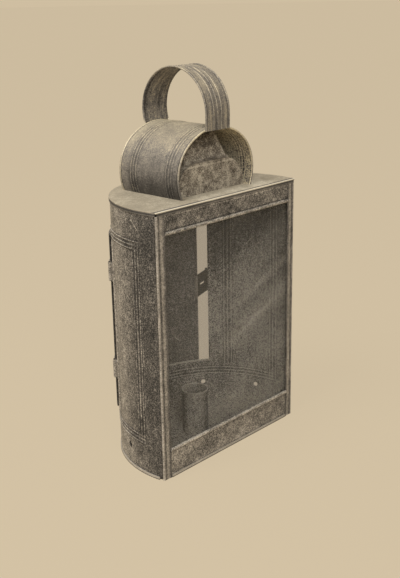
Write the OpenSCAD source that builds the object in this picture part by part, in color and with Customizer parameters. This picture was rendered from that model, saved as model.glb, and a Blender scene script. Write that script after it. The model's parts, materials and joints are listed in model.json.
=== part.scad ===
// Half-round sheet-tin hand lantern for one candle, with a rear door, glass front and vented hood.
// The origin lies on the surface it stands on, at the centre of the curved wall.
// The glass front faces -Y, the door is at +Y, and +Z is up. All sizes are in millimetres.

/* [Body] */
// Height of the body, floor to top plate
body_h = 254; // [220:1:290]
// Outside radius of the curved wall
wall_r = 96.8; // [92:0.2:104]
// Distance from the centre of the wall's curve to the front face
front_d = 19.5; // [16:0.5:22]
// Thickness of the tin sheet
sheet_t = 0.8; // [0.6:0.1:1]
// Height of the turned-up rim of the bottom plate
rim_h = 2.8; // [2:0.1:4]
// Height of the turned-down rim of the top plate
lid_rim_h = 3.4; // [2.4:0.1:4.4]

/* [Beaded panels] */
// Radius of a bead in section
bead_r = 0.62; // [0.6:0.02:0.66]
// How far a bead stands out of the sheet
bead_proud = 0.55; // [0.45:0.05:0.6]
// Height of the lowest beaded line
bead_low_z = 31.6; // [29.6:0.2:31.8]
// Height of the highest beaded line
bead_high_z = 225; // [224.5:0.5:228]
// Step between neighbouring lines of the border, measured up the wall
bead_step_z = 3.5; // [3.2:0.1:3.5]
// Step between neighbouring upright lines, in degrees round the wall
bead_step_a = 2.3; // [2:0.1:2.6]
// Angle from the side of the wall to the outermost upright line
bead_edge_a = 1.6; // [1:0.2:4]
// Angle from the side of the wall to the middle of the uprights beside the door
bead_door_a = 35; // [30:0.5:35.5]

/* [Door] */
// Angle from the side of the wall to the edge of the door opening
opening_a = 47.5; // [45.5:0.5:48]
// Height of the sill of the door opening
opening_low_z = 48; // [48:0.5:60]
// Height of the top of the door opening
opening_high_z = 209.5; // [190:0.5:211]
// How far the door laps over the sill
sill_lap = 8.2; // [5:0.1:8.2]
// How far the door laps over the head of the opening
head_lap = 5; // [4.5:0.1:5.4]
// How far the door stands ajar
door_ajar = 9; // [0:0.5:100]
// Height of one hinge
hinge_h = 18; // [14:0.5:22]
// Height of the middle of the upper hinge
hinge_high_z = 181; // [150:1:195]
// Height of the middle of the lower hinge
hinge_low_z = 82; // [60:1:100]
// Radius of a hinge pin
pin_r = 0.98; // [0.9:0.02:1.1]

/* [Hasp] */
// Height of the middle of the hasp
hasp_z = 125.5; // [110:0.5:140]
// Height of the hasp plate
hasp_h = 25; // [20:0.5:30]
// Length of the hasp plate from its hinge pin
hasp_len = 32; // [28:0.5:34]
// How far the hasp stands swung out from the wall
hasp_out = 63; // [0:1:165]

/* [Glass front] */
// Half the width of the glass opening between the stiles
sight_half = 85.2; // [82:0.2:86]
// Height of the face of the bottom rail
low_rail_z = 30; // [26:0.5:36]
// Height of the lower edge of the top rail
high_rail_z = 232; // [228:0.5:236]
// Thickness of the glass
glass_t = 2; // [1.8:0.1:2.2]

/* [Candle socket] */
// Inside radius of the socket
socket_bore_r = 12.4; // [9.5:0.1:16]
// Height of the rim of the socket
socket_rim_z = 47; // [30:0.5:60]
// Distance of the socket behind the front face
socket_back = 50.5; // [45:0.5:60]

/* [Hood] */
// Half the greatest width of the hood
hood_half = 51.1; // [48.1:0.3:54.1]
// Height of the widest line of the hood above the top plate
hood_spring_h = 17.5; // [14:0.5:20]
// Radius of the sides of the hood
hood_side_r = 39.1; // [36.1:0.3:42.1]
// Distance of the hood's front rim behind the front face
hood_front = 15.2; // [12:0.2:20]
// Length of the hood from front rim to rear rim
hood_len = 77.1; // [60:0.1:78]

/* [Flue] */
// Half the width of the flue box inside the hood
flue_half = 45; // [40:0.5:45.5]
// Height of the flue box
flue_h = 28.5; // [24:0.5:30]
// Radius of the shoulders of the flue box
flue_shoulder_r = 25; // [20:0.5:26]
// Distance of the flue box behind the hood's front rim
flue_back = 8; // [6:0.5:14]
// Length of the flue box
flue_len = 58; // [50:0.5:60]

/* [Handle] */
// Width of the handle strap
strap_w = 32.3; // [26:0.1:36]
// Height of the centre of the handle loop
loop_z = 326.4; // [322:0.2:328]
// Height at which the front end of the strap stops
strap_end_z = 311.5; // [308:0.5:312]

/* [Hidden] */

$fn = 96;
tin = [0.50, 0.48, 0.43];
tin_dark = [0.38, 0.36, 0.33];
tin_pale = [0.64, 0.61, 0.54];
tin_soot = [0.30, 0.28, 0.25];

// A cutting margin, and the play that parts of different bodies keep between them
eps = 0.5;
play = 0.35;

// The wall and the plates
wall_in = wall_r - sheet_t;
rim_r = wall_r + sheet_t;
plate_z = body_h - sheet_t;
front_y = -front_d;
wall_start_a = -10.2;
vent_r = 2.5;
vent_z = 21.5;
vent_angles = [16.5, 51.5, 90, 128.5, 163.5];

// The beads, which draw the sheet of the panel in a little
panel_draw = 0.02;
bead_c = wall_r + bead_proud - bead_r;
groove_r = 0.45;
groove_depth = 0.4;
groove_c = wall_in + groove_depth - groove_r;
bead_end_gap = 3.8;
corner_gap = 1;

// The opening's hem, folded flat inside the wall
hem_a = 3.5;
hem_h = 4;

// The door leaf, its hems and its hinge axis, as it lies when shut
leaf_r = wall_r + play;
leaf_out = leaf_r + sheet_t;
leaf_hem_out = leaf_out + sheet_t;
leaf_hem = 5;
knuckle_r = 2;
knuckle_bore = pin_r + 0.07;
hinge_r = wall_r + knuckle_r + 0.5;
hinge_a = 180 - opening_a + 4;
leaf_gap = 2.5;
leaf_low_z = opening_low_z - sill_lap;
leaf_high_z = opening_high_z + head_lap;
leaf_a1 = hinge_a - leaf_gap / leaf_r * 180 / PI;
hinge_pos = [hinge_r * cos(hinge_a), hinge_r * sin(hinge_a)];
strap_tail = 6.6;
knuckle_gap = 0.3;
knuckle_mid = 6.2;
knuckle_end = 0.4;
head_r = 1.6;
head_h = 0.6;

// The hasp's pin lies in the rolled free edge of the leaf
roll_r = 1.7;
hasp_r = wall_r + roll_r + 0.55;
hasp_a = opening_a - 3;
hasp_pos = [hasp_r * cos(hasp_a), hasp_r * sin(hasp_a)];
hasp_lean = 7.8;
hasp_shut_a = hasp_a - 90 - hasp_lean;
hasp_t = 0.8;
hasp_knuckle_r = 1.85;
notch_h = hasp_h + 0.6;
notch_r = 2.6;
pin_hold = 7;
slot_near = 10;
slot_far = 21.5;
slot_h = 2.3;
lip_r = 1.6;

// The staple that the hasp's slot drops over
staple_r = 0.8;
staple_half = 3.5;
staple_reach = 6.2;
staple_tail = 1.6;
staple_run = 15.4;
staple_a = hasp_a - staple_run / wall_r * 180 / PI;

// The glass front
edge_roll_r = 1.2;
edge_roll_x = 94.1;
edge_roll_y = front_y + 0.8;
sight_roll_r = 0.8;
sight_roll_x = sight_half + sight_roll_r;
sight_roll_y = front_y + 0.2;
stile_h = 250.4;
channel_back = front_y + 3.4;
channel_lip_x = 88.6;
channel_a1 = -8.6;
glass_y = front_y + 1.1;
glass_half = 92;
glass_top = 249;
rail_bead_r = 1.7;
rail_bead_y = front_y - 0.1;

// The socket, whose rim is rolled outwards
socket_out = socket_bore_r + sheet_t;
socket_y = front_y + socket_back;
socket_roll_r = 0.5;

// The hood's outline is a crown arc that runs into two side arcs. They meet on the line through
// their centres, which rises 4 in 3, so that every centre and radius is a round number.
side_x = hood_half - hood_side_r;
spring_z = body_h + hood_spring_h;
crown_r = hood_side_r + side_x * 5 / 3;
crown_z = spring_z - side_x * 4 / 3;
hood_h = crown_z + crown_r - body_h;
join_end = [90, crown_z + 120];
hood_y0 = front_y + hood_front;
hood_y1 = hood_y0 + hood_len;
hood_hem_r = 0.9;
hood_bead_front = 9.4;
hood_bead_rear = 15;
hood_bead_step = 3.5;

// The flue stands over a round hole in the top plate
flue_y0 = hood_y0 + flue_back;
flue_mid_y = flue_y0 + flue_len / 2;
flue_hole_r = 20;
flue_top_z = body_h + flue_h;
neck_foot = 1.6;
neck_drop = 2.4;
neck_base = [57, 44];
neck_mouth = [40, 30];
neck_h = 24.5;

// The strap. Its front leg is all but straight and touches the front rim where the strap's edges
// cross it. The loop's inner face comes down to the rear rim at the crown, and a flat foot goes on
// down behind the rim.
strap_hem_r = 0.8;
strap_bead_step = 5.2;
leg_r = 400;
rim_high_z = body_h + hood_h;
rim_touch_z = crown_z + sqrt(pow(crown_r - sheet_t / 2, 2) - pow(strap_w / 2, 2));
leg_sag = pow(loop_z - rim_touch_z, 2) / (2 * leg_r);
rim_span = hood_len + leg_sag;
rim_drop = loop_z - rim_high_z;
loop_in = ceil(100 * (pow(rim_span, 2) + pow(rim_drop, 2)) / (2 * rim_span)) / 100;
loop_y = hood_y0 - leg_sag + loop_in;
loop_wrap_a = floor(asin(rim_drop / loop_in));
loop_end_drop = loop_in * sin(loop_wrap_a);
foot_w = strap_w - 3;
foot_low = 4;
foot_lap = 0.5;

// A curved sheet round the lantern's centre, between two angles and two heights
module curved_sheet(r0, r1, z0, z1, a0, a1) {
    rotate([0, 0, a0])
        rotate_extrude(angle = a1 - a0, $fn = 360)
            translate([r0, z0])
                square([r1 - r0, z1 - z0]);
}

// A round line that runs round the wall
module round_line(r, section_r, z, a0, a1) {
    rotate([0, 0, a0])
        rotate_extrude(angle = a1 - a0, $fn = 360)
            translate([r, z])
                circle(section_r, $fn = 24);
}

// A round line that runs up the wall
module upright_line(r, section_r, a, z0, z1) {
    rotate([0, 0, a])
        translate([r, 0, z0])
            cylinder(h = z1 - z0, r = section_r, $fn = 24);
}

// Every line of the wall's border, as ridges or as the grooves behind them.
// The uprights stop just short of the round lines at the corners.
module border_lines(r, section_r) {
    over_a = bead_r / wall_r * 180 / PI;
    for (i = [0:2]) {
        a = bead_edge_a + i * bead_step_a;
        z0 = bead_low_z + i * bead_step_z;
        z1 = bead_high_z - i * bead_step_z;
        for (z = [z0, z1])
            round_line(r, section_r, z, a - over_a, 180 - a + over_a);
        for (side = [a, 180 - a])
            upright_line(r, section_r, side, z0 + corner_gap, z1 - corner_gap);
    }
    for (i = [-1:1]) {
        z0 = bead_low_z + 2 * bead_step_z + bead_end_gap;
        z1 = bead_high_z - 2 * bead_step_z - bead_end_gap;
        for (side = [bead_door_a, 180 - bead_door_a])
            upright_line(r, section_r, side + i * bead_step_a, z0, z1);
    }
}

// A hole bored through the wall towards its centre
module wall_hole(r, a, z) {
    rotate([0, 0, a])
        translate([wall_r - 6, 0, z])
            rotate([0, 90, 0])
                cylinder(h = 12, r = r, $fn = 32);
}

module staple_legs(r, reach0, reach1) {
    rotate([0, 0, staple_a])
        for (side = [-1, 1])
            translate([wall_r - reach0, side * staple_half, hasp_z])
                rotate([0, 90, 0])
                    cylinder(h = reach0 + reach1, r = r, $fn = 32);
}

module body_wall() {
    color(tin)
        difference() {
            union() {
                curved_sheet(
                    wall_in, wall_r - panel_draw, sheet_t, plate_z, wall_start_a, 180 - wall_start_a
                );
                for (z = [[sheet_t, bead_low_z], [bead_high_z, plate_z]])
                    curved_sheet(
                        wall_in + 0.3, wall_r, z[0], z[1], wall_start_a, 180 - wall_start_a
                    );
                border_lines(bead_c, bead_r);
                curved_sheet(
                    wall_in - sheet_t, wall_in + 0.2, opening_low_z - hem_h, opening_high_z + hem_h,
                    opening_a - hem_a, 180 - opening_a + hem_a
                );
            }
            border_lines(groove_c, groove_r);
            curved_sheet(
                wall_in - 4, wall_r + 4, opening_low_z, opening_high_z, opening_a, 180 - opening_a
            );
            for (a = vent_angles)
                wall_hole(vent_r, a, vent_z);
            staple_legs(staple_r + 0.05, 6, 3);
        }
}

// The D of a plate, with its straight edge at a given depth
module plate_outline(r, y0) {
    intersection() {
        circle(r);
        translate([-r - 1, y0])
            square([2 * r + 2, r - y0 + 1]);
    }
}

// A plate with a rim round the curve and across the front, as a cap that is open at its far side
module rimmed_plate(h) {
    difference() {
        linear_extrude(h)
            plate_outline(rim_r, front_y - sheet_t);
        translate([0, 0, sheet_t])
            linear_extrude(h)
                plate_outline(wall_r, front_y);
    }
}

module bottom_plate() {
    color(tin)
        difference() {
            rimmed_plate(rim_h);
            for (side = [0, 1])
                mirror([side, 0, 0])
                    translate([sight_half - 0.4, front_y - 2, -eps])
                        cube([14, 7.2, 8]);
        }
}

// The rims stop short of each other at the front corners, where the sheet is nicked for the fold
module top_plate() {
    color(tin_pale)
        difference() {
            translate([0, 0, body_h])
                mirror([0, 0, 1])
                    rimmed_plate(lid_rim_h);
            for (side = [0, 1])
                mirror([side, 0, 0])
                    translate([edge_roll_x - 0.1, front_y - 2, body_h - lid_rim_h - 1])
                        cube([8, 3.1, lid_rim_h - sheet_t + 0.8]);
            translate([0, flue_mid_y, plate_z - eps])
                cylinder(h = sheet_t + 2 * eps, r = flue_hole_r, $fn = 64);
        }
}

// The right-hand stile: a folded channel that holds the glass and closes the wall's front edge
module stile() {
    front_w = edge_roll_x - sight_roll_x;
    linear_extrude(stile_h)
        union() {
            translate([sight_roll_x, front_y])
                square([front_w, sheet_t]);
            translate([channel_lip_x, channel_back])
                square([edge_roll_x + 0.3 - channel_lip_x, sheet_t]);
            translate([sight_roll_x, sight_roll_y])
                circle(sight_roll_r, $fn = 32);
            translate([edge_roll_x, edge_roll_y])
                circle(edge_roll_r, $fn = 32);
        }
    curved_sheet(wall_in - sheet_t, wall_in, 0.8, stile_h, -11, channel_a1);
}

module left_stile() {
    color(tin_pale)
        mirror([1, 0, 0])
            stile();
}

module right_stile() {
    color(tin_pale)
        stile();
}

// The face of a rail, cut at its ends to sit against the stiles' rolled edges
module rail(z0, z1, bead_z) {
    difference() {
        union() {
            translate([-sight_roll_x, front_y, z0])
                cube([2 * sight_roll_x, sheet_t, z1 - z0]);
            translate([-sight_roll_x, rail_bead_y, bead_z])
                rotate([0, 90, 0])
                    cylinder(h = 2 * sight_roll_x, r = rail_bead_r, $fn = 32);
        }
        translate([-sight_roll_x - 1, front_y + sheet_t, bead_z - 3])
            cube([2 * sight_roll_x + 2, 2, 6]);
        for (side = [-1, 1])
            translate([side * sight_roll_x, sight_roll_y, 0])
                cylinder(h = body_h, r = sight_roll_r, $fn = 32);
        for (side = [0, 1])
            mirror([side, 0, 0])
                translate([sight_half + 0.3, front_y - 3, -eps])
                    cube([4, 6, stile_h + eps]);
    }
}

module top_rail() {
    color(tin)
        rail(high_rail_z, plate_z, high_rail_z + rail_bead_r);
}

module bottom_rail() {
    color(tin)
        rail(sheet_t, low_rail_z, low_rail_z - rail_bead_r);
}

module glass_pane() {
    color([0.75, 0.8, 0.78, 0.35])
        translate([-glass_half, glass_y, sheet_t])
            cube([2 * glass_half, glass_t, glass_top - sheet_t]);
}

module candle_socket() {
    color(tin_dark)
        translate([0, socket_y, 0])
            rotate_extrude()
                union() {
                    translate([socket_bore_r, sheet_t])
                        square([sheet_t, socket_rim_z - sheet_t - socket_roll_r]);
                    translate([socket_bore_r + socket_roll_r, socket_rim_z - socket_roll_r])
                        circle(socket_roll_r, $fn = 32);
                    translate([socket_out - 0.2, socket_rim_z - 5])
                        circle(0.6, $fn = 24);
                }
}

// One arc of the hood: a section, given outwards from the surface and along the barrel,
// turned about the arc's centre and kept where the outline's wedge holds it
module hood_arc(centre, r, wedge) {
    intersection() {
        translate(centre)
            rotate_extrude()
                translate([r, 0])
                    children();
        translate([0, 0, -1])
            linear_extrude(hood_len + 2)
                polygon(wedge);
    }
}

module hood_sweep() {
    side_wedge = [[side_x, spring_z], join_end, [join_end[0], body_h], [side_x, body_h]];
    hood_arc([0, crown_z], crown_r, [[0, crown_z], join_end, [-join_end[0], join_end[1]]])
        children();
    for (side = [0, 1])
        mirror([side, 0, 0])
            hood_arc([side_x, spring_z], hood_side_r, side_wedge)
                children();
}

// The hood's sheet in section: rolled rims and two groups of three beads
module hood_section() {
    difference() {
        union() {
            translate([-sheet_t, hood_hem_r])
                square([sheet_t, hood_len - 2 * hood_hem_r]);
            for (y = [hood_hem_r, hood_len - hood_hem_r])
                translate([-sheet_t / 2, y])
                    circle(hood_hem_r, $fn = 24);
            hood_bead_section(bead_proud - bead_r, bead_r);
        }
        hood_bead_section(groove_depth - sheet_t - groove_r, groove_r);
    }
}

module hood_bead_section(depth, section_r) {
    for (i = [0:2])
        for (y = [hood_bead_rear + i * hood_bead_step, hood_len - hood_bead_front - i * hood_bead_step])
            translate([depth, y])
                circle(section_r, $fn = 24);
}

module hood() {
    color(tin)
        translate([0, hood_y1, 0])
            rotate([90, 0, 0])
                hood_sweep()
                    hood_section();
}

// The flue box in section: a flat top with round shoulders
module flue_section(half, h, r) {
    union() {
        translate([-half, 0])
            square([2 * half, h - r]);
        translate([-half + r, 0])
            square([2 * (half - r), h]);
        for (side = [-1, 1])
            translate([side * (half - r), h - r])
                circle(r);
    }
}

module flue_box() {
    color(tin_soot)
        difference() {
            translate([0, flue_y0 + flue_len, body_h])
                rotate([90, 0, 0])
                    linear_extrude(flue_len)
                        flue_section(flue_half, flue_h, flue_shoulder_r);
            translate([0, flue_y0 + flue_len - sheet_t, body_h])
                rotate([90, 0, 0])
                    linear_extrude(flue_len - 2 * sheet_t)
                        flue_section(flue_half - sheet_t, flue_h - sheet_t, flue_shoulder_r - sheet_t);
            translate([-flue_half - 1, flue_y0 - 1, body_h - 30])
                cube([2 * flue_half + 2, flue_len + 2, 30]);
            translate([-neck_base[0] / 2 + 2, flue_mid_y - neck_base[1] / 2 + 2, flue_top_z - 3])
                cube([neck_base[0] - 4, neck_base[1] - 4, 6]);
        }
}

// A four-sided taper between two rectangles
module taper(base, mouth, h) {
    corners = [[-1, -1], [1, -1], [1, 1], [-1, 1]];
    polyhedron(
        points = concat(
            [for (c = corners) [c[0] * base[0] / 2, c[1] * base[1] / 2, 0]],
            [for (c = corners) [c[0] * mouth[0] / 2, c[1] * mouth[1] / 2, h]]
        ),
        faces = [[0, 1, 2, 3], [7, 6, 5, 4], [0, 4, 5, 1], [1, 5, 6, 2], [2, 6, 7, 3], [3, 7, 4, 0]]
    );
}

// The neck stands on a turned-down foot that follows the shoulders of the box
module flue_neck() {
    inner_base = [neck_base[0] - 2 * sheet_t, neck_base[1] - 2 * sheet_t];
    inner_mouth = [neck_mouth[0] - 2 * sheet_t, neck_mouth[1] - 2 * sheet_t];
    foot_x = neck_base[0] / 2 + neck_foot;
    foot_y = neck_base[1] / 2 + neck_foot;
    flare = 0.02;
    color(tin_soot)
        translate([0, flue_mid_y, flue_top_z])
            difference() {
                union() {
                    taper(neck_base, neck_mouth, neck_h);
                    translate([-foot_x, -foot_y, -neck_drop])
                        cube([2 * foot_x, 2 * foot_y, neck_drop + sheet_t]);
                }
                translate([0, 0, -flare])
                    taper(inner_base, inner_mouth, neck_h + 2 * flare);
                translate([0, flue_len / 2, -flue_h])
                    rotate([90, 0, 0])
                        linear_extrude(flue_len)
                            flue_section(flue_half, flue_h, flue_shoulder_r);
            }
}

// The strap in section, outwards from its inner face and across its width
module strap_section() {
    half = strap_w / 2;
    union() {
        translate([0, -half + strap_hem_r])
            square([sheet_t, strap_w - 2 * strap_hem_r]);
        for (side = [-1, 1])
            translate([strap_hem_r + 0.05, side * (half - strap_hem_r)])
                circle(strap_hem_r, $fn = 24);
        for (i = [-1:1])
            translate([sheet_t + bead_proud - bead_r, i * strap_bead_step])
                circle(bead_r, $fn = 24);
    }
}

module handle_strap() {
    color(tin)
        translate([0, loop_y, loop_z])
            rotate([90, 0, 90])
                union() {
                    mirror([1, 0, 0]) {
                        rotate_extrude(angle = 180 + loop_wrap_a, $fn = 180)
                            translate([loop_in, 0])
                                strap_section();
                        translate([loop_in - leg_r, 0])
                            mirror([0, 1, 0])
                                rotate_extrude(angle = asin((loop_z - strap_end_z) / leg_r), $fn = 720)
                                    translate([leg_r, 0])
                                        strap_section();
                    }
                    translate([hood_y1 - loop_y, -rim_drop - foot_low, -foot_w / 2])
                        cube([sheet_t, foot_low + rim_drop - loop_end_drop + foot_lap, foot_w]);
                }
}

// One hinge, drawn with its pin's axis at the origin and its middle at z = 0
module knuckle(r, z0, z1) {
    translate([0, 0, z0])
        cylinder(h = z1 - z0, r = r, $fn = 48);
}

module hinge_bore(r, h) {
    translate([0, 0, -h])
        cylinder(h = 2 * h, r = r, $fn = 48);
}

// The half of a hinge that is soldered to the wall, over the crests of the beads
module wall_strap(mid_z) {
    strap_r = wall_r + bead_proud;
    tail_half = hinge_h / 2 - knuckle_end;
    turn = knuckle_mid / 2 + knuckle_gap;
    difference() {
        union() {
            curved_sheet(
                strap_r, strap_r + sheet_t, mid_z - tail_half, mid_z + tail_half,
                hinge_a, hinge_a + strap_tail / wall_r * 180 / PI
            );
            translate([hinge_pos[0], hinge_pos[1], mid_z]) {
                knuckle(knuckle_r, turn, hinge_h / 2);
                knuckle(knuckle_r, -hinge_h / 2, -turn);
            }
        }
        translate([hinge_pos[0], hinge_pos[1], mid_z]) {
            hinge_bore(pin_r + 0.02, hinge_h);
            knuckle(knuckle_r + 0.4, -turn, turn);
        }
    }
}

module upper_hinge_strap() {
    color(tin_pale)
        wall_strap(hinge_high_z);
}

module lower_hinge_strap() {
    color(tin_pale)
        wall_strap(hinge_low_z);
}

module hinge_pin(mid_z) {
    translate([hinge_pos[0], hinge_pos[1], mid_z]) {
        knuckle(pin_r, -hinge_h / 2 - head_h, hinge_h / 2 + head_h);
        knuckle(head_r, hinge_h / 2, hinge_h / 2 + head_h);
        knuckle(head_r, -hinge_h / 2 - head_h, -hinge_h / 2);
    }
}

module upper_hinge_pin() {
    color(tin_dark)
        hinge_pin(hinge_high_z);
}

module lower_hinge_pin() {
    color(tin_dark)
        hinge_pin(hinge_low_z);
}

// The staple: a wire loop whose legs pass through the wall
module hasp_staple() {
    color(tin_dark)
        union() {
            staple_legs(staple_r, sheet_t + staple_tail, staple_reach);
            rotate([0, 0, staple_a])
                translate([wall_r + staple_reach, 0, hasp_z])
                    rotate([0, 0, -90])
                        rotate_extrude(angle = 180)
                            translate([staple_half, 0])
                                circle(staple_r, $fn = 32);
        }
}

// Turns its children about the hinge pins from shut to ajar
module swing_door() {
    translate(hinge_pos)
        rotate([0, 0, door_ajar])
            translate(-hinge_pos)
                children();
}

module door_leaf() {
    hem_turn = leaf_hem / leaf_r * 180 / PI;
    color(tin_dark)
        swing_door()
            difference() {
                union() {
                    curved_sheet(leaf_r, leaf_hem_out, leaf_low_z, leaf_high_z, hasp_a, leaf_a1);
                    upright_line(hasp_r, roll_r, hasp_a, leaf_low_z, leaf_high_z);
                }
                curved_sheet(
                    leaf_out, leaf_hem_out + 3, leaf_low_z + leaf_hem, leaf_high_z - leaf_hem,
                    hasp_a + hem_turn, leaf_a1 - 1.6 * hem_turn
                );
                translate([hasp_pos[0], hasp_pos[1], hasp_z]) {
                    knuckle(notch_r, -notch_h / 2, notch_h / 2);
                    hinge_bore(pin_r + 0.02, notch_h / 2 + pin_hold);
                }
            }
}

// The half of a hinge that is soldered to the leaf's hem
module door_strap(mid_z) {
    inner = leaf_hem_out;
    outer = inner + sheet_t;
    tail_a = leaf_a1 - 1.5 * leaf_hem / leaf_r * 180 / PI;
    tail_half = hinge_h / 2 - knuckle_end;
    tongue_half = knuckle_mid / 2 - knuckle_end;
    difference() {
        union() {
            curved_sheet(inner, outer, mid_z - tail_half, mid_z + tail_half, tail_a, leaf_a1);
            curved_sheet(inner, outer, mid_z - tongue_half, mid_z + tongue_half, tail_a, hinge_a);
            translate([hinge_pos[0], hinge_pos[1], mid_z])
                knuckle(knuckle_r, -knuckle_mid / 2, knuckle_mid / 2);
        }
        translate([hinge_pos[0], hinge_pos[1], mid_z])
            hinge_bore(knuckle_bore, hinge_h);
    }
}

module upper_door_strap() {
    color(tin_pale)
        swing_door()
            door_strap(hinge_high_z);
}

module lower_door_strap() {
    color(tin_pale)
        swing_door()
            door_strap(hinge_low_z);
}

module hasp_pin() {
    color(tin_dark)
        swing_door()
            translate([hasp_pos[0], hasp_pos[1], hasp_z])
                knuckle(pin_r, -notch_h / 2 - pin_hold, notch_h / 2 + pin_hold);
}

// The hasp, drawn along +X from its pin with its outer face towards +Y
module hasp_blank() {
    end_x = hasp_len - lip_r;
    difference() {
        union() {
            knuckle(hasp_knuckle_r, -hasp_h / 2, hasp_h / 2);
            translate([0, -hasp_t / 2, -hasp_h / 2])
                cube([end_x, hasp_t, hasp_h]);
            translate([end_x, lip_r, -hasp_h / 2])
                rotate([0, 0, -90])
                    rotate_extrude(angle = 150)
                        translate([lip_r - hasp_t / 2, 0])
                            square([hasp_t, hasp_h]);
        }
        hinge_bore(knuckle_bore, hasp_h);
        translate([slot_near, -3, -slot_h / 2])
            cube([slot_far - slot_near, 6, slot_h]);
    }
}

module hasp_plate() {
    color(tin_dark)
        swing_door()
            translate([hasp_pos[0], hasp_pos[1], hasp_z])
                rotate([0, 0, hasp_shut_a + hasp_out])
                    hasp_blank();
}

body_wall();
bottom_plate();
top_plate();
left_stile();
right_stile();
top_rail();
bottom_rail();
glass_pane();
candle_socket();
hood();
flue_box();
flue_neck();
handle_strap();
upper_hinge_strap();
lower_hinge_strap();
upper_hinge_pin();
lower_hinge_pin();
hasp_staple();
door_leaf();
upper_door_strap();
lower_door_strap();
hasp_pin();
hasp_plate();
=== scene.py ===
"""Looks of the half-round tin hand lantern: materials, floor, backdrop, light and camera.

Lengths are in metres, in the lantern's own frame: the origin is on the standing surface at the
centre of the wall's curve, the glass front faces -Y, the door is at +Y, and +Z is up. Names that
end in _A are angles in degrees about the wall's axis. A tone is how light the tin is, from 0,
nearly black, to 1, pale.
"""

import json
import math

import bpy
from mathutils import Matrix, Vector


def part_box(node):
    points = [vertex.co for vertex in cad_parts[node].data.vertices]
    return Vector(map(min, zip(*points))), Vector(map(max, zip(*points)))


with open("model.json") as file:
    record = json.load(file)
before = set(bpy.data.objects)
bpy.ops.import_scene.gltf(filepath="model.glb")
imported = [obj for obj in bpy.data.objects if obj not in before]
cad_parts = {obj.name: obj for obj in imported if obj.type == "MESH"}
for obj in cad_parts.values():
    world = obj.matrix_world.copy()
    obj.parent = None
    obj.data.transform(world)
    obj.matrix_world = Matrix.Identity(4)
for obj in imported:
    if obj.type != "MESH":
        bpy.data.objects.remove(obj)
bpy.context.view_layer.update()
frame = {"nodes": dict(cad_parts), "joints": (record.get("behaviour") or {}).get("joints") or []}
nodes = frame["nodes"]

MM = 0.001


# Sizes read from the frame

plate_low, plate_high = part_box("top_plate")
hood_low, hood_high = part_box("hood")
strap_low, strap_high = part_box("handle_strap")
neck_low, neck_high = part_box("flue_neck")
socket_low, socket_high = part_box("candle_socket")
socket_middle = (socket_low + socket_high) / 2
top_rail_low, top_rail_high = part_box("top_rail")
low_rail_top_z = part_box("bottom_rail")[1].z
foot_rim_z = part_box("bottom_plate")[1].z
glass_front_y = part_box("glass_pane")[0].y
door_edge_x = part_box("door_leaf")[0].x
hasp_joint = next(joint for joint in frame["joints"] if joint["name"] == "hasp_hinge")
hasp_x, hasp_y = hasp_joint["pos_m"][:2]


# Where the folds, beads and holes run, as in the tin itself

SHEET = 0.8 * MM
WALL_R = plate_high.x - SHEET
FRONT_Y = plate_low.y + SHEET
BEAD_HALF = 0.75 * MM
BEAD_MARGIN = 1.4 * MM

RING_LOW_Z = 31.6 * MM
RING_HIGH_Z = 225 * MM
RING_STEP = 3.5 * MM
RING_RUN = 2 * RING_STEP
EDGE_BEAD_A = 1.6
DOOR_BEAD_A = 32.7
BEAD_STEP_A = 2.3
BEAD_RUN_A = 2 * BEAD_STEP_A
BEAD_HALF_A = 0.45
OPENING_A = 47.5
OPENING_LOW_Z = 48 * MM
VENT_Z = 21.5 * MM
VENT_ANGLES = [16.5, 51.5, 90.0, 128.5, 163.5]

HOOD_FRONT_BEAD = 9.4 * MM
HOOD_REAR_BEAD = 15 * MM
HOOD_BEAD_STEP = 3.5 * MM
HOOD_CENTRE = (0.0, (hood_low.y + hood_high.y) / 2, 265 * MM)
STRAP_BEAD_STEP = 5.2 * MM
LOOP_R = 41.2 * MM
LOOP_CENTRE = (0.0, (strap_low.y + strap_high.y) / 2, strap_high.z - LOOP_R)
STILE_INNER_X = 86 * MM
RAIL_HEM = 3.5 * MM
PLATE_RIM = 4 * MM


# Nodes of a material, added and joined step by step

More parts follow.
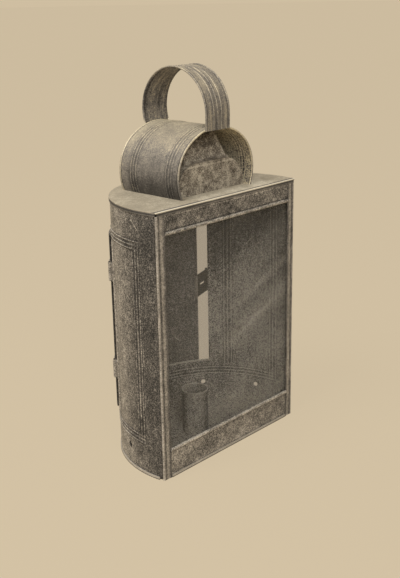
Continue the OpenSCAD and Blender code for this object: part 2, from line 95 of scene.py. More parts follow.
class Shader:
    """A material and the few node recipes that the materials here share."""

    def __init__(self, name):
        self.material = bpy.data.materials.new(name)
        self.material.use_nodes = True
        self.tree = self.material.node_tree
        self.tree.nodes.clear()
        self.output = self.add("ShaderNodeOutputMaterial")
        coords = self.add("ShaderNodeTexCoord")
        self.place = coords.outputs["Object"]
        split = self.add("ShaderNodeSeparateXYZ", Vector=self.place)
        self.x, self.y, self.z = split.outputs

    def add(self, kind, settings=None, **inputs):
        node = self.tree.nodes.new(kind)
        for key, value in (settings or {}).items():
            setattr(node, key, value)
        for key, value in inputs.items():
            self.feed(node.inputs[key.replace("_", " ")], value)
        return node

    def feed(self, socket, value):
        if isinstance(value, bpy.types.NodeSocket):
            self.tree.links.new(value, socket)
        else:
            socket.default_value = value

    def show(self, shader):
        self.feed(self.output.inputs["Surface"], shader)

    def mixed(self, share, a, b):
        """A shader that is a where share is 0 and b where it is 1."""
        node = self.add("ShaderNodeMixShader")
        for socket, value in zip(node.inputs, (share, a, b)):
            self.feed(socket, value)
        return node.outputs[0]

    # Numbers

    def math(self, operation, a, b=0.0, clamp=False):
        node = self.add("ShaderNodeMath", {"operation": operation, "use_clamp": clamp})
        self.feed(node.inputs[0], a)
        self.feed(node.inputs[1], b)
        return node.outputs[0]

    def plus(self, a, b):
        return self.math("ADD", a, b)

    def minus(self, a, b):
        return self.math("SUBTRACT", a, b)

    def least(self, a, b):
        return self.math("MINIMUM", a, b)

    def most(self, *values):
        result = values[0]
        for value in values[1:]:
            result = self.math("MAXIMUM", result, value)
        return result

    def times(self, *values):
        result = values[0]
        for value in values[1:]:
            result = self.math("MULTIPLY", result, value)
        return result

    def total(self, base, *terms):
        """base plus each term's (value - 0.5) times its weight."""
        result = base
        for value, weight in terms:
            result = self.plus(result, self.times(self.minus(value, 0.5), weight))
        return result

    def either(self, share, a, b):
        """A number that is a where share is 0 and b where it is 1."""
        node = self.add("ShaderNodeMix", {"data_type": "FLOAT"})
        for index, value in ((0, share), (2, a), (3, b)):
            self.feed(node.inputs[index], value)
        return node.outputs[0]

    def ramp(self, value, start, end, low=0.0, high=1.0):
        """Smoothly from low at start to high at end, and level past them."""
        node = self.add("ShaderNodeMapRange", {"interpolation_type": "SMOOTHSTEP"}, Value=value)
        node.inputs["From Min"].default_value = start
        node.inputs["From Max"].default_value = end
        node.inputs["To Min"].default_value = low
        node.inputs["To Max"].default_value = high
        return node.outputs[0]

    def band(self, along, start, end, soft):
        """1 from start to end, and 0 from soft before the one and soft past the other."""
        rise = self.ramp(along, start - soft, start)
        fall = self.ramp(along, end, end + soft, 1.0, 0.0)
        return self.times(rise, fall)

    def stripes(self, along, first, step, count, half):
        """1 on each of count lines, from first and then step apart, and 0 from half away."""
        turns = self.math("DIVIDE", self.minus(along, first), step)
        nearest = self.least(self.most(self.math("ROUND", turns), 0.0), count - 1.0)
        away = self.times(self.math("ABSOLUTE", self.minus(turns, nearest)), step)
        return self.ramp(away, half * 0.45, half, 1.0, 0.0)

    # Places and directions

    def vector(self, operation, a, b=None):
        node = self.add("ShaderNodeVectorMath", {"operation": operation})
        self.feed(node.inputs[0], a)
        if b is not None:
            self.feed(node.inputs[1], b)
        return node.outputs["Value" if operation in ("LENGTH", "DOT_PRODUCT") else "Vector"]

    def from_point(self, point):
        return self.vector("LENGTH", self.vector("SUBTRACT", self.place, point))

    def from_upright(self, x=0.0, y=0.0):
        """How far a place is from the upright line at x and y."""
        offset = self.vector("SUBTRACT", self.place, (x, y, 0.0))
        return self.vector("LENGTH", self.vector("MULTIPLY", offset, (1, 1, 0)))

    def scratch(self, start, end, half):
        """1 along a straight scratch between two points, and 0 from half away from it."""
        start, end = Vector(start), Vector(end)
        run = end - start
        offset = self.vector("SUBTRACT", self.place, start)
        along = self.vector("DOT_PRODUCT", offset, run)
        share = self.math("DIVIDE", along, run.length_squared, clamp=True)
        on_line = self.add("ShaderNodeVectorMath", {"operation": "SCALE"})
        on_line.inputs[0].default_value = run
        self.feed(on_line.inputs["Scale"], share)
        away = self.vector("LENGTH", self.vector("SUBTRACT", offset, on_line.outputs["Vector"]))
        return self.ramp(away, half * 0.4, half, 1.0, 0.0)

    def facing_out(self, centre):
        """1 on the side of a sheet that faces away from a point, 0 on the side towards it."""
        away = self.vector("NORMALIZE", self.vector("SUBTRACT", self.place, centre))
        normal = self.add("ShaderNodeNewGeometry").outputs["Normal"]
        return self.ramp(self.vector("DOT_PRODUCT", away, normal), -0.15, 0.15)

    # Patterns, colours and relief

    def noise(self, size, detail=3.0, roughness=0.6, stretch=(1, 1, 1), shift=0.0):
        """Noise about 0.5 with features of a size in metres, drawn out by stretch."""
        scaled = self.vector("MULTIPLY", self.place, [1 / (size * s) for s in stretch])
        moved = self.vector("ADD", scaled, (shift, shift * 0.7, -shift))
        node = self.add(
            "ShaderNodeTexNoise", Vector=moved, Scale=1.0, Detail=detail, Roughness=roughness,
        )
        return node.outputs["Fac"]

    def colours(self, value, stops):
        node = self.add("ShaderNodeValToRGB")
        self.feed(node.inputs["Fac"], value)
        ramp = node.color_ramp
        while len(ramp.elements) < len(stops):
            ramp.elements.new(0.5)
        for element, (position, colour) in zip(ramp.elements, stops):
            element.position = position
            element.color = colour
        return node.outputs["Color"]

    def bump(self, height, depth):
        """Normals of a surface whose height runs over depth metres."""
        node = self.add("ShaderNodeBump", Height=height, Distance=depth, Strength=1.0)
        return node.outputs["Normal"]


def give(shader, *names):
    """Makes a material the only one of each piece named."""
    for name in names:
        slots = nodes[name].data.materials
        slots.clear()
        slots.append(shader.material)


# Colours

def srgb(red, green, blue):
    """A colour given as 0 to 255 display values, as linear light with alpha."""
    def linear(level):
        level /= 255
        return level / 12.92 if level <= 0.04045 else ((level + 0.055) / 1.055) ** 2.4

    return (linear(red), linear(green), linear(blue), 1.0)


TIN = [
    (0.00, srgb(36, 34, 31)),
    (0.25, srgb(70, 66, 61)),
    (0.50, srgb(112, 106, 98)),
    (0.75, srgb(159, 151, 139)),
    (1.00, srgb(204, 195, 180)),
]
WARM_TIN = [*TIN[:-2], (0.75, srgb(160, 149, 128)), (1.00, srgb(206, 193, 162))]
PALE_TIN = [*WARM_TIN[:-1], (1.00, srgb(232, 222, 199))]
RUST = [
    (0.00, srgb(38, 33, 28)),
    (0.35, srgb(78, 70, 60)),
    (0.60, srgb(118, 109, 96)),
    (1.00, srgb(176, 167, 150)),
]
GLASS_TINT = srgb(198, 199, 204)
GLASS_SHADE = srgb(240, 240, 234)
DUST = srgb(205, 198, 182)
PAPER = (0.625, 0.516, 0.358, 1.0)


# How old tin looks

def tin_tone(s, base, patches=0.5, grain=0.3, streaks=0.3, blots=0.25, shift=0.0):
    """The tone of worn tin: patches, speckled grain, upright streaks and dark blots."""
    patch = s.noise(22 * MM, detail=4.0, roughness=0.62, shift=3.1 + shift)
    cloud = s.noise(8 * MM, detail=3.0, roughness=0.6, shift=9.4 + shift)
    speck = s.ramp(s.noise(3.4 * MM, detail=2.0, roughness=0.65, shift=17.2 + shift), 0.32, 0.68)
    fine = s.ramp(s.noise(1.7 * MM, detail=1.0, roughness=0.6, shift=shift), 0.30, 0.70)
    grit = s.ramp(s.noise(1.0 * MM, detail=0.0, shift=27.5 + shift), 0.30, 0.70)
    streak = s.noise(2.6 * MM, detail=3.0, roughness=0.6, stretch=(1, 1, 9), shift=5.7 + shift)
    blot = s.ramp(s.noise(3.6 * MM, detail=3.0, roughness=0.65, shift=12.3 + shift), 0.58, 0.76)
    tone = s.total(base, (patch, patches), (cloud, 0.7 * patches), (streak, streaks))
    tone = s.total(tone, (speck, 0.4 * grain), (fine, 0.5 * grain), (grit, 1.1 * grain))
    return darker(s, tone, blot, blots)


def lighter(s, tone, mask, amount):
    return s.plus(tone, s.times(mask, amount))


def darker(s, tone, mask, amount):
    return s.minus(tone, s.times(mask, amount))


def painted_shade_at_foot(s, tone):
    """Painted shade: darker in a line just over the floor plate's rim, where the wall and rails
    meet it.
    """
    return darker(s, tone, s.ramp(s.z, foot_rim_z + 1.0 * MM, foot_rim_z + 0.4 * MM), 0.14)


def finish_tin(s, tone, stops=TIN, metallic=0.22, rough=0.6, depth=0.10 * MM):
    """Colours the tin by its tone and gives it its sheen and its fine uneven surface."""
    pits = s.noise(1.1 * MM, detail=3.0, roughness=0.7, shift=21.0)
    dents = s.noise(14 * MM, detail=2.0, roughness=0.5, shift=2.2)
    height = s.total(0.5, (pits, 0.35), (dents, 1.6))
    tin = s.add(
        "ShaderNodeBsdfPrincipled",
        Base_Color=s.colours(tone, stops),
        Metallic=metallic,
        Roughness=s.math("SUBTRACT", rough + 0.14, s.times(tone, 0.26), clamp=True),
        Normal=s.bump(height, depth),
    )
    s.show(tin.outputs[0])


# The wall

NICK_START = (-96.3 * MM, 10.5 * MM, 244.0 * MM)
NICK_END = (-96.9 * MM, 2.5 * MM, 236.0 * MM)
WALL_SKIN = 0.3 * MM
SILL_H = 1.6 * MM
SOOT_R = 2.4 * MM


def wall_beads(s, side, level):
    """The crests of the wall's beads, and the border that they stand in.

    side is the angle from the nearer front edge, and level the height past the outer ring.
    """
    ends = RING_RUN + 3.6 * MM
    past_edge = s.ramp(side, EDGE_BEAD_A - 0.7, EDGE_BEAD_A - 0.4)
    past_rings = s.ramp(level, -0.6 * MM, -0.2 * MM)
    past_ends = s.ramp(level, ends, ends + 0.6 * MM)
    crests = s.most(
        s.times(s.stripes(level, 0.0, RING_STEP, 3, BEAD_HALF), past_edge),
        s.times(s.stripes(side, EDGE_BEAD_A, BEAD_STEP_A, 3, BEAD_HALF_A), past_rings),
        s.times(s.stripes(side, DOOR_BEAD_A, BEAD_STEP_A, 3, BEAD_HALF_A), past_ends),
    )
    border = s.most(
        s.times(s.band(level, -BEAD_MARGIN, RING_RUN + BEAD_MARGIN, 0.5 * MM), past_edge),
        s.times(s.band(side, EDGE_BEAD_A - 0.8, EDGE_BEAD_A + BEAD_RUN_A + 0.8, 0.3), past_rings),
        s.times(s.band(side, DOOR_BEAD_A - 0.9, DOOR_BEAD_A + BEAD_RUN_A + 0.9, 0.3), past_ends),
    )
    return crests, border


def wall_outer_tone(s, side, crests, border):
    """Painted shade towards the front edges, but lighter with wear in a strip beside them."""
    lightened = s.times(s.band(side, -2.0, 4.5, 2.5), s.band(s.z, 70 * MM, 160 * MM, 30 * MM))
    nick = s.scratch(NICK_START, NICK_END, 0.9 * MM)
    tone = tin_tone(s, 0.575, grain=0.36)
    # painted shade towards the front edges
    tone = darker(s, tone, s.ramp(side, 26.0, -4.0), 0.34)
    tone = lighter(s, tone, s.ramp(s.z, RING_LOW_Z, RING_LOW_Z - 20 * MM), 0.05)
    tone = lighter(s, tone, lightened, 0.12)
    # painted shade in the bead borders; the crests lighter, partly from rubbing and partly a
    # painted highlight
    tone = darker(s, tone, border, 0.20)
    tone = lighter(s, tone, crests, 0.36)
    tone = painted_shade_at_foot(s, tone)
    return lighter(s, tone, nick, 0.4)


def wall_inner_tone(s, side, crests, border):
    """Painted shade at the top and low down near the left, with a painted highlight along the sill
    under the door opening.
    """
    streaks = s.noise(5 * MM, detail=3.0, roughness=0.6, stretch=(1, 1, 12), shift=41.0)
    near_left = s.ramp(s.x, 45 * MM, -25 * MM, 0.3, 1.0)
    low = s.times(s.band(s.z, 16 * MM, 56 * MM, 10 * MM), near_left)
    sill = s.times(
        s.band(s.z, OPENING_LOW_Z - SILL_H, OPENING_LOW_Z + 0.1 * MM, 0.3 * MM),
        s.ramp(side, OPENING_A - 1.0, OPENING_A),
    )
    # the inside is much lighter than the outside: painted light where the inside lies in shade
    tone = tin_tone(s, 0.88, patches=0.45, grain=0.6, streaks=0.4, blots=0.1, shift=19.0)
    tone = s.total(tone, (streaks, 0.4))
    # painted shade towards the top and low down near the left
    tone = darker(s, tone, s.ramp(s.z, 112 * MM, 218 * MM), 0.50)
    tone = darker(s, tone, low, 0.40)
    tone = darker(s, tone, s.ramp(side, 24.0, 42.0), 0.18)
    # painted shade in the bead borders and painted highlights on the crests
    tone = darker(s, tone, border, 0.20)
    tone = lighter(s, tone, crests, 0.48)
    # painted highlight along the sill under the door opening
    return lighter(s, tone, sill, 0.5)


def soot_at_vent(s, angle):
    """1 on the sooty edge of the vent hole at an angle of the wall, 0 past it."""
    turn = math.radians(angle)
    centre = (WALL_R * math.cos(turn), WALL_R * math.sin(turn), VENT_Z)
    return s.ramp(s.from_point(centre), SOOT_R + 1.0 * MM, SOOT_R)


def wall_material():
    """Beaded sheet with a lighter tone inside than outside, as painted light, and soot round its
    vent holes.
    """
    s = Shader("aged_tin_wall")
    outside = s.ramp(s.from_upright(), WALL_R - WALL_SKIN - 0.2 * MM, WALL_R - WALL_SKIN)
    angle = s.times(s.math("ARCTAN2", s.y, s.x), 180 / math.pi)
    side = s.least(angle, s.minus(180.0, angle))
    level = s.least(s.minus(s.z, RING_LOW_Z), s.minus(RING_HIGH_Z, s.z))
    crests, border = wall_beads(s, side, level)
    inner = wall_inner_tone(s, side, crests, border)
    outer = wall_outer_tone(s, side, crests, border)
    soot = s.most(*(soot_at_vent(s, angle) for angle in VENT_ANGLES))
    finish_tin(s, darker(s, s.either(outside, inner, outer), soot, 0.35))
    return s


# The hood, strap and flue

def hood_beads(s, along, first):
    """The crests of a group of the hood's beads, and the border that they stand in."""
    last = first + 2 * HOOD_BEAD_STEP
    return (
        s.stripes(along, first, HOOD_BEAD_STEP, 3, BEAD_HALF),
        s.band(along, first - BEAD_MARGIN, last + BEAD_MARGIN, 0.6 * MM),
    )


def hood_material():
    """Painted light along the top and painted shade low on its sides, mottled, with painted
    highlights on rims and crests and a lighter inside as painted light.
    """
    s = Shader("aged_tin_hood")
    from_front = s.minus(s.y, hood_low.y)
    from_rear = s.minus(hood_high.y, s.y)
    from_rim = s.least(from_front, from_rear)
    front_crests, front_border = hood_beads(s, from_front, HOOD_FRONT_BEAD)
    rear_crests, rear_border = hood_beads(s, from_rear, HOOD_REAR_BEAD)
    crests = s.most(front_crests, rear_crests)
    border = s.most(front_border, rear_border)
    rim = s.ramp(from_rim, 1.9 * MM, 1.5 * MM)
    beside_rim = s.band(from_rim, 2.0 * MM, 2.7 * MM, 0.3 * MM)
    up_z = hood_low.z + 30 * MM
    top = s.ramp(s.z, up_z, hood_low.z + 58 * MM)
    low = s.times(
        s.ramp(s.z, up_z, hood_low.z + 4 * MM),
        s.ramp(from_rear, 6 * MM, 22 * MM, 0.3, 1.0),
    )
    tone = tin_tone(s, 0.46, patches=0.42, grain=0.13, streaks=0.1, blots=0.15, shift=31.0)
    # painted light along the top and painted shade low on the sides
    tone = lighter(s, tone, top, 0.24)
    tone = darker(s, tone, low, 0.24)
    tone = lighter(s, tone, s.ramp(from_rear, 16 * MM, 8 * MM), 0.08)
    # painted shade in the bead borders and painted highlights on the crests
    tone = darker(s, tone, border, 0.09)
    tone = lighter(s, tone, crests, 0.20)
    # the inside painted lighter, as painted light where it lies in shade
    inner = tin_tone(s, 0.82, patches=0.5, grain=0.5, streaks=0.6, shift=37.0)
    inner = darker(s, inner, border, 0.16)
    inner = lighter(s, inner, crests, 0.3)
    tone = s.either(s.facing_out(HOOD_CENTRE), inner, tone)
    # painted shade beside the rims and a painted highlight on them
    tone = darker(s, tone, beside_rim, 0.22)
    tone = lighter(s, tone, rim, 0.20)
    finish_tin(s, tone, stops=WARM_TIN, depth=0.05 * MM)
    return s


def strap_material():
    """Streaked along its length, painted lighter towards the top, with soft crests of painted
    highlight and painted shade that show most low on the outer face, and painted shade on and
    beside the rims.
    """
    s = Shader("aged_tin_strap")
    across = s.math("ABSOLUTE", s.x)
    half = (strap_high.x - strap_low.x) / 2
    crests = s.stripes(across, 0.0, STRAP_BEAD_STEP, 2, BEAD_HALF)
    border = s.band(across, 0.0, STRAP_BEAD_STEP + 1.6 * MM, 0.6 * MM)
    rim = s.ramp(across, half - 2.0 * MM, half - 1.5 * MM)
    beside_rim = s.band(across, half - 3.0 * MM, half - 2.2 * MM, 0.3 * MM)
    along = s.noise(3.4 * MM, detail=2.0, roughness=0.5, stretch=(1, 9, 9), shift=53.0)
    high = s.ramp(s.z, LOOP_CENTRE[2] - 6 * MM, LOOP_CENTRE[2] + 32 * MM)
    plain = s.ramp(high, 1.0, 0.0, 0.35, 1.0)
    tone = tin_tone(s, 0.56, patches=0.3, grain=0.15, streaks=0.0, blots=0.1, shift=47.0)
    tone = s.total(tone, (along, 0.65))
    # painted light towards the top
    tone = lighter(s, tone, high, 0.10)
    # painted shade in the bead border and painted highlights on the crests
    tone = darker(s, tone, s.times(border, plain), 0.13)
    tone = lighter(s, tone, s.times(crests, plain), 0.15)
    inner = tin_tone(s, 0.46, patches=0.4, grain=0.22, streaks=0.1, shift=51.0)
    inner = s.total(inner, (along, 0.9))
    tone = s.either(s.facing_out(LOOP_CENTRE), inner, tone)
    # painted shade beside and on the rims
    tone = darker(s, tone, beside_rim, 0.22)
    tone = darker(s, tone, rim, 0.08)
    finish_tin(s, tone, stops=WARM_TIN, depth=0.03 * MM)
    return s


def flue_material():
    """Rusty stains and soot, with painted shade towards the top of the neck and a painted
    highlight along the line where the neck is folded onto the box.
    """
    s = Shader("rusty_sooty_tin")
    stains = s.noise(6 * MM, detail=4.0, roughness=0.7, shift=131.0)
    fold = s.band(s.z, neck_low.z - 1.4 * MM, neck_low.z, 0.4 * MM)
    tone = tin_tone(s, 0.69, patches=0.9, grain=0.30, streaks=0.0, blots=0.3, shift=127.0)
    tone = s.total(tone, (stains, 1.2))
    # painted shade towards the top of the neck, and a painted highlight along the ledge
    tone = darker(s, tone, s.ramp(s.z, neck_low.z, neck_high.z - 4 * MM), 0.16)
    tone = lighter(s, tone, fold, 0.22)
    finish_tin(s, tone, stops=RUST, metallic=0.2, rough=0.66, depth=0.25 * MM)
    return s


# The plates and the strips of the front

def top_plate_material():
    """Pale and smooth on top, painted lighter in front of the hood where its shadow falls, with a
    painted highlight on the front fold between lines of painted shade, and painted shade on the
    rim.
    """
    s = Shader("pale_tin_plate")
    from_edge = s.minus(s.y, plate_low.y)
    depth = s.minus(plate_high.z, s.z)
    rim = s.ramp(depth, 0.3 * MM, 0.6 * MM)
    under_fold = s.band(depth, 1.4 * MM, 2.3 * MM, 0.3 * MM)
    fold = s.times(
        s.ramp(from_edge, 1.4 * MM, 0.8 * MM),
        s.ramp(depth, 1.2 * MM, 0.9 * MM),
    )
    fold_shade = s.times(
        s.band(from_edge, 1.9 * MM, 4.3 * MM, 0.5 * MM),
        s.ramp(depth, 0.4 * MM, 0.2 * MM),
    )
    by_hood = s.times(
        s.ramp(s.y, 30 * MM, hood_low.y - 4 * MM),
        s.band(s.x, -22 * MM, 60 * MM, 24 * MM),
    )
    tone = tin_tone(s, 0.74, patches=0.26, grain=0.07, streaks=0.0, blots=0.1, shift=63.0)
    # painted light in front of the hood, where the hood's shadow falls
    tone = lighter(s, tone, by_hood, 0.12)
    # painted shade beside the fold, on the rim and under the fold, and a painted highlight on the
    # fold
    tone = darker(s, tone, fold_shade, 0.30)
    tone = darker(s, tone, rim, 0.36)
    tone = darker(s, tone, under_fold, 0.26)
    tone = lighter(s, tone, fold, 0.30)
    finish_tin(s, tone, stops=PALE_TIN, metallic=0.12, depth=0.03 * MM)
    return s


def stile_material():
    """Strips with two folds lighter from rubbing and a painted highlight, painted shade in the
    groove between them and a painted shadow line by the glass.
    """
    s = Shader("rubbed_tin_stile")
    across = s.minus(s.math("ABSOLUTE", s.x), STILE_INNER_X)
    front = s.ramp(s.y, FRONT_Y + 2.0 * MM, FRONT_Y + 1.2 * MM)
    rubbed_and_painted_light = s.most(
        s.band(across, 8.0 * MM, 10.9 * MM, 0.7 * MM),
        s.band(across, 2.2 * MM, 4.4 * MM, 0.6 * MM),
    )
    shaded_lines = s.most(
        s.ramp(across, 1.1 * MM, 0.6 * MM),
        s.band(across, 5.7 * MM, 6.5 * MM, 0.5 * MM),
    )
    tone = tin_tone(s, 0.51, patches=0.4, grain=0.2, streaks=0.5, shift=71.0)
    # painted shade in the groove and a painted shadow line by the glass; the folds lighter from
    # rubbing and a painted highlight
    tone = darker(s, tone, s.times(shaded_lines, front), 0.18)
    tone = lighter(s, tone, s.times(rubbed_and_painted_light, front), 0.14)
    finish_tin(s, tone)
    return s


def rail_material():
    """Mottled strips over and under the glass, with a painted highlight on the speckled hem, a
    line of painted shade by it, and a painted highlight under the plate's rim.
    """
    s = Shader("aged_tin_rail")
    hem = s.ramp(s.y, FRONT_Y - 0.15 * MM, FRONT_Y - 0.4 * MM)
    over = s.minus(s.z, top_rail_low.z)
    under = s.minus(low_rail_top_z, s.z)
    by_hem = s.most(*(
        s.band(along, RAIL_HEM, RAIL_HEM + 0.9 * MM, 0.3 * MM) for along in (over, under)
    ))
    rim_z = top_rail_high.z - PLATE_RIM
    shine = s.band(s.z, rim_z - 0.6 * MM, rim_z, 0.3 * MM)
    tone = tin_tone(s, 0.435, patches=0.85, grain=0.34, streaks=0.0, shift=85.0)
    tone = painted_shade_at_foot(s, tone)
    tone = lighter(s, tone, s.ramp(s.z, 60 * MM, 30 * MM), 0.12)
    # a line of painted shade beside the hem, a painted highlight under the plate's rim, and a
    # painted highlight on the hem
    tone = darker(s, tone, by_hem, 0.2)
    tone = lighter(s, tone, shine, 0.2)
    tone = lighter(s, tone, hem, 0.23)
    finish_tin(s, tone)
    return s


def floor_plate_material():
    """The floor plate, with a rim smoothed by rubbing that has painted shade where it stands."""
    s = Shader("aged_tin_base")
    outer = s.most(
        s.ramp(s.from_upright(), WALL_R, WALL_R + 0.2 * MM),
        s.ramp(s.y, FRONT_Y - 0.1 * MM, FRONT_Y - 0.3 * MM),
    )
    rim = s.most(outer, s.ramp(s.z, 1.0 * MM, 1.6 * MM))
    tone = tin_tone(s, 0.90, patches=1.0, grain=0.9, streaks=0.0, shift=95.0)
    rubbed_and_painted_light = tin_tone(s, 0.80, patches=0.3, grain=0.12, streaks=0.0, blots=0.0, shift=97.0)
    # painted shade along the bottom of the rim, where it stands
    rubbed_and_painted_light = darker(s, rubbed_and_painted_light, s.ramp(s.z, 1.1 * MM, 0.6 * MM), 0.5)
    finish_tin(s, s.either(rim, tone, rubbed_and_painted_light))
    return s


# The socket, door and hardware

# The side that faces the camera, where the socket gets its painted highlight
HIGHLIGHT_SIDE = (-0.73, -0.68)


def socket_material():
    """Dull tin with a painted highlight on its rim and on its left front side, and painted light
    inside the bore.
    """
    s = Shader("dark_tin_socket")
    rim = s.ramp(s.z, socket_high.z - 1.4 * MM, socket_high.z - 1.0 * MM)
    bore = s.ramp(s.z, socket_high.z - 16 * MM, socket_high.z - 4 * MM)
    side = s.plus(s.times(s.x, HIGHLIGHT_SIDE[0]), s.times(s.y, HIGHLIGHT_SIDE[1]))
    lightened = s.ramp(s.minus(side, HIGHLIGHT_SIDE[1] * socket_middle.y), 5 * MM, 12.5 * MM)
    outside = s.facing_out(tuple(socket_middle))
    tone = tin_tone(s, 0.42, patches=0.5, grain=0.4, streaks=0.4, shift=113.0)
    # painted highlight on the side facing the camera, painted light inside the bore, and a painted
    # highlight on the rim
    tone = lighter(s, tone, lightened, 0.42)
    tone = s.either(outside, lighter(s, tone, bore, 0.4), tone)
    tone = lighter(s, tone, rim, 0.8)
    finish_tin(s, tone, metallic=0.3, rough=0.5)
    return s


def door_material():
    """Dark mottled tin, with a painted shadow along its hinged edge."""
    s = Shader("dark_tin_door")
    by_hinges = s.ramp(s.x, door_edge_x + 8 * MM, door_edge_x + 1 * MM)
    tone = tin_tone(s, 0.52, patches=0.35, grain=0.36, streaks=0.3, shift=101.0)
    # painted shadow along the hinged edge, by the gap at the hinges
    tone = darker(s, tone, by_hinges, 0.42)
    finish_tin(s, tone, rough=0.64)
    return s


def hinge_strap_material():
    """Plain tin, lighter than the door."""
    s = Shader("tin_hinge_straps")
    tone = tin_tone(s, 0.68, patches=0.35, grain=0.26, streaks=0.3, shift=109.0)
    finish_tin(s, tone, rough=0.64)
    return s


def hasp_material():
    """Nearly black, with a painted highlight on its knuckle."""
    s = Shader("dark_tin_hasp")
    knuckle = s.ramp(s.from_upright(hasp_x, hasp_y), 2.3 * MM, 1.8 * MM)
    tone = tin_tone(s, 0.20, patches=0.25, grain=0.18, streaks=0.1, shift=107.0)
    # painted highlight on the knuckle
    tone = lighter(s, tone, knuckle, 0.6)
    finish_tin(s, tone, rough=0.58)
    return s


def wire_material():
    """Dull iron, with a little more sheen than the tin."""
    s = Shader("dull_iron_wire")
    tone = tin_tone(s, 0.36, patches=0.3, grain=0.3, streaks=0.0, shift=139.0)
    finish_tin(s, tone, metallic=0.5, rough=0.5)
    return s


# The glass: wipes of dust run along a slope across it, and two short scratches are on its front

WIPE_SLOPE = (-0.38, 0.925)
WIPE_STEP = 34 * MM
SCRATCHES = [
    ((-78 * MM, glass_front_y, 140 * MM), (-70 * MM, glass_front_y, 132 * MM)),
    ((20 * MM, glass_front_y, 201 * MM), (33 * MM, glass_front_y, 207 * MM)),
]


def dust_on_glass(s):
    """How much of the glass the dust covers."""
    slant = s.plus(s.times(s.x, WIPE_SLOPE[0]), s.times(s.z, WIPE_SLOPE[1]))
    wipes = s.add(
        "ShaderNodeTexNoise", {"noise_dimensions": "1D"}, Scale=1.0, Detail=2.0, Roughness=0.5,
    )
    s.feed(wipes.inputs["W"], s.math("DIVIDE", slant, WIPE_STEP))
    film = s.times(
        s.ramp(wipes.outputs["Fac"], 0.35, 0.75),
        s.plus(s.band(slant, 100 * MM, 118 * MM, 20 * MM), 0.25),
        s.ramp(s.x, -50 * MM, 30 * MM, 0.1, 1.0),
        s.noise(1.6 * MM, detail=2.0, roughness=0.7, shift=7.0),
        0.45,
    )
    marks = s.most(*(s.scratch(start, end, 0.8 * MM) for start, end in SCRATCHES))
    return s.plus(lighter(s, film, marks, 0.22), 0.03)


def glass_material():
    """Old window glass under a faint film of dust, which lets light through to the inside."""
    s = Shader("old_glass")
    glass = s.add("ShaderNodeBsdfPrincipled", Base_Color=GLASS_TINT, Roughness=0.02, IOR=1.18)
    glass.inputs["Transmission Weight"].default_value = 1.0
    powder = s.add("ShaderNodeBsdfPrincipled", Base_Color=DUST, Roughness=0.9)
    dusty = s.mixed(dust_on_glass(s), glass.outputs[0], powder.outputs[0])
    clear = s.add("ShaderNodeBsdfTransparent", Color=GLASS_SHADE)
    path = s.add("ShaderNodeLightPath")
    s.show(s.mixed(path.outputs["Is Shadow Ray"], dusty, clear.outputs[0]))
    return s


give(wall_material(), "body_wall")
give(hood_material(), "hood")
give(strap_material(), "handle_strap")
give(top_plate_material(), "top_plate")
give(stile_material(), "left_stile", "right_stile")
give(rail_material(), "top_rail", "bottom_rail")
give(floor_plate_material(), "bottom_plate")
give(flue_material(), "flue_box", "flue_neck")
give(socket_material(), "candle_socket")
give(door_material(), "door_leaf")
give(hasp_material(), "hasp_plate")
give(
    hinge_strap_material(),
    "upper_hinge_strap", "lower_hinge_strap", "upper_door_strap", "lower_door_strap",
)
give(wire_material(), "upper_hinge_pin", "lower_hinge_pin", "hasp_pin", "hasp_staple")
give(glass_material(), "glass_pane")


# Floor and backdrop, which show the paper's colour and keep a faint shadow

FLOOR_EVEN = 0.92
FLOOR_STRENGTH = 1.02
FLOOR_R = 40.0
FLOOR_SIDES = 64
FLOOR_DROP = 0.3 * MM
WORLD_LIGHT = (0.95, 0.97, 1.0, 1.0)
WORLD_STRENGTH = 0.42


def seen_directly(tree):
    """1 for rays that show the background: from the camera, or by way of gloss or glass."""
    path = tree.nodes.new("ShaderNodeLightPath")
    total = path.outputs["Is Camera Ray"]
    for name in ("Is Glossy Ray", "Is Transmission Ray"):
        more = tree.nodes.new("ShaderNodeMath")
        more.operation = "MAXIMUM"
        tree.links.new(total, more.inputs[0])
        tree.links.new(path.outputs[name], more.inputs[1])
        total = more.outputs[0]
    return total


def make_floor():
    bpy.ops.mesh.primitive_circle_add(
        vertices=FLOOR_SIDES, radius=FLOOR_R, fill_type="NGON", location=(0, 0, -FLOOR_DROP),
    )
    floor = bpy.context.object
    floor.name = "floor"
    s = Shader("pale_floor")
    lit = s.add("ShaderNodeBsdfDiffuse", Color=PAPER)
    even = s.add("ShaderNodeEmission", Color=PAPER, Strength=FLOOR_STRENGTH)
    share = s.times(seen_directly(s.tree), FLOOR_EVEN)
    s.show(s.mixed(share, lit.outputs[0], even.outputs[0]))
    floor.data.materials.append(s.material)


def make_world():
    world = bpy.data.worlds.new("studio")
    bpy.context.scene.world = world
    world.use_nodes = True
    tree = world.node_tree
    tree.nodes.clear()
    light = tree.nodes.new("ShaderNodeBackground")
    light.inputs["Color"].default_value = WORLD_LIGHT
    light.inputs["Strength"].default_value = WORLD_STRENGTH
    backdrop = tree.nodes.new("ShaderNodeBackground")
    backdrop.inputs["Color"].default_value = PAPER
    mixed = tree.nodes.new("ShaderNodeMixShader")
    output = tree.nodes.new("ShaderNodeOutputWorld")
    tree.links.new(seen_directly(tree), mixed.inputs[0])
    tree.links.new(light.outputs[0], mixed.inputs[1])
    tree.links.new(backdrop.outputs[0], mixed.inputs[2])
    tree.links.new(mixed.outputs[0], output.inputs["Surface"])


# Lamps

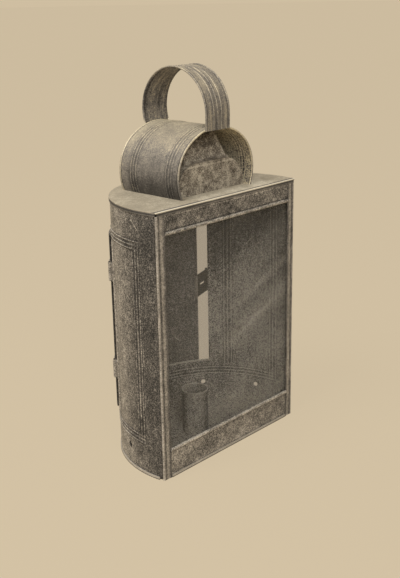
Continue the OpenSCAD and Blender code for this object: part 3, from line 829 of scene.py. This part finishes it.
LAMPS_AIM = Vector((0.0, 0.03, 0.17))
LAMPS = [
    {"name": "key", "place": (-1.05, 0.1, 1.6), "across": 0.9, "watts": 26.0,
     "colour": (1.0, 0.985, 0.955)},
    {"name": "fill", "place": (-0.95, -1.25, 1.2), "across": 1.0, "watts": 17.0,
     "colour": (1.0, 0.99, 0.97)},
]


def make_lamp(name, place, across, watts, colour):
    """A soft round lamp that points at the lantern."""
    data = bpy.data.lights.new(name, "AREA")
    data.shape = "DISK"
    data.size = across
    data.energy = watts
    data.color = colour
    lamp = bpy.data.objects.new(name, data)
    lamp.location = place
    lamp.rotation_mode = "QUATERNION"
    lamp.rotation_quaternion = (LAMPS_AIM - Vector(place)).to_track_quat("-Z", "Y")
    bpy.context.scene.collection.objects.link(lamp)


# Camera, from a fit to the drawing's own perspective

CAMERA_AZIMUTH = math.radians(-46.67)
CAMERA_RISE = math.radians(18.0)
CAMERA_ROLL = math.radians(-1.07)
CAMERA_DISTANCE = 0.82555
CAMERA_TARGET = Vector((-0.04241, -0.0195, 0.17391))
CLIP_START, CLIP_END = 0.01, 200.0
FOCAL_PX = 910.26
FRAME_H_PX = 578
SENSOR_MM = 36.0


def make_camera():
    back = Vector((
        math.sin(CAMERA_AZIMUTH) * math.cos(CAMERA_RISE),
        -math.cos(CAMERA_AZIMUTH) * math.cos(CAMERA_RISE),
        math.sin(CAMERA_RISE),
    ))
    right = (-back).cross(Vector((0, 0, 1))).normalized()
    up = right.cross(-back)
    turned_right = right * math.cos(CAMERA_ROLL) + up * math.sin(CAMERA_ROLL)
    turned_up = up * math.cos(CAMERA_ROLL) - right * math.sin(CAMERA_ROLL)
    data = bpy.data.cameras.new("camera")
    data.sensor_width = SENSOR_MM
    data.lens = FOCAL_PX / FRAME_H_PX * SENSOR_MM
    data.clip_start = CLIP_START
    data.clip_end = CLIP_END
    data.dof.use_dof = False
    camera = bpy.data.objects.new("camera", data)
    turn = Matrix((turned_right, turned_up, back)).transposed().to_4x4()
    camera.matrix_world = Matrix.Translation(CAMERA_TARGET + back * CAMERA_DISTANCE) @ turn
    bpy.context.scene.collection.objects.link(camera)
    bpy.context.scene.camera = camera


make_floor()
make_world()
for lamp_values in LAMPS:
    make_lamp(**lamp_values)
make_camera()
bpy.context.scene.view_settings.view_transform = "Standard"
